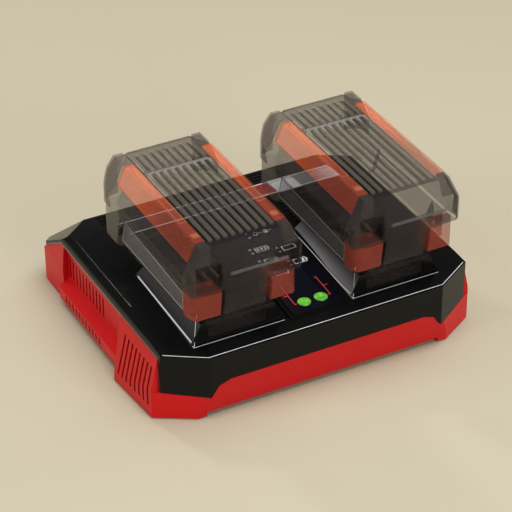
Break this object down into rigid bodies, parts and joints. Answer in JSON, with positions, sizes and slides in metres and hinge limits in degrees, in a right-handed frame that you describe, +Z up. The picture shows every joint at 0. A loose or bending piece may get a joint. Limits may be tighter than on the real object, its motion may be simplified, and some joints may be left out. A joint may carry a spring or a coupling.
{
  "type": "power tool battery charger",
  "caption": "Low twin-bay battery charger with a dark cover over a red vented base, a sloped centre panel and slide-on ribbed battery packs on raised rails.",
  "frame": {"origin": "middle of the footprint, on the table under the rubber feet", "axes": "+Z up, +Y to the back where the cord leaves, +X to the right seen from the front"},
  "size_m": [0.25, 0.208, 0.1325],
  "materials": {
    "casing_red": "moulded plastic, satin gloss",
    "cover_black": "moulded plastic, satin gloss",
    "panel_navy": "polished window",
    "lens_green": "lit lens",
    "lens_clear": "clear lens",
    "label_print": "printed film",
    "board_green": "solder mask",
    "winding": "taped winding and core",
    "component_black": "sleeved or moulded",
    "aluminium": "extruded",
    "ceramic": "fired ceramic and glass",
    "terminal_blue": "moulded",
    "guide_clear": "clear acrylic",
    "block_black": "glass-filled moulding",
    "contact_brass": "plated",
    "lead_red": "insulated ribbon",
    "rubber_black": "matt",
    "screw_steel": "zinc plated",
    "pack_charcoal": "translucent smoked moulding",
    "pack_red": "translucent moulded grip",
    "pack_pad": "translucent soft pad",
    "gauge_grey": "translucent light bar"
  },
  "bodies": {
    "charger": {"base_shell": "casing_red", "top_cover": "cover_black", "window_panel": "panel_navy", "status_lenses": "lens_green", "indicator_lenses": "lens_clear", "label_band": "label_print", "main_board": "board_green", "transformer": "winding", "filter_capacitors": "component_black", "heat_sink": "aluminium", "power_transistors": "component_black", "fuse": "ceramic", "mains_terminal": "terminal_blue", "display_board": "board_green", "light_guides": "guide_clear", "left_contact_block": "block_black", "right_contact_block": "block_black", "left_contacts": "contact_brass", "right_contacts": "contact_brass", "left_leads": "lead_red", "right_leads": "lead_red", "cord_gland": "rubber_black", "rubber_feet": "rubber_black", "cover_screws": "screw_steel", "board_screws": "screw_steel"},
    "left_pack": {"left_pack_case_lower": "pack_charcoal", "left_pack_case_upper": "pack_charcoal", "left_pack_grip_strips": "pack_red", "left_pack_bumpers": "pack_pad", "left_pack_gauge_bar": "gauge_grey", "left_pack_terminals": "contact_brass"},
    "left_pack_left_button": {"left_pack_left_button": "pack_red"},
    "left_pack_right_button": {"left_pack_right_button": "pack_red"},
    "right_pack": {"right_pack_case_lower": "pack_charcoal", "right_pack_case_upper": "pack_charcoal", "right_pack_grip_strips": "pack_red", "right_pack_bumpers": "pack_pad", "right_pack_gauge_bar": "gauge_grey", "right_pack_terminals": "contact_brass"},
    "right_pack_left_button": {"right_pack_left_button": "pack_red"},
    "right_pack_right_button": {"right_pack_right_button": "pack_red"}
  },
  "joints": [
    {"name": "left_pack_slide", "type": "slide", "parent": "charger", "child": "left_pack", "axis": [0, -1, 0], "range_m": [0, 0.08]},
    {"name": "left_pack_left_button_press", "type": "slide", "parent": "left_pack", "child": "left_pack_left_button", "axis": [1, 0, 0], "range_m": [0, 0.0025], "stiffness_N_per_m": 600},
    {"name": "left_pack_right_button_press", "type": "slide", "parent": "left_pack", "child": "left_pack_right_button", "axis": [-1, 0, 0], "range_m": [0, 0.0025], "stiffness_N_per_m": 600},
    {"name": "right_pack_slide", "type": "slide", "parent": "charger", "child": "right_pack", "axis": [0, -1, 0], "range_m": [0, 0.08]},
    {"name": "right_pack_left_button_press", "type": "slide", "parent": "right_pack", "child": "right_pack_left_button", "axis": [1, 0, 0], "range_m": [0, 0.0025], "stiffness_N_per_m": 600},
    {"name": "right_pack_right_button_press", "type": "slide", "parent": "right_pack", "child": "right_pack_right_button", "axis": [-1, 0, 0], "range_m": [0, 0.0025], "stiffness_N_per_m": 600}
  ]
}
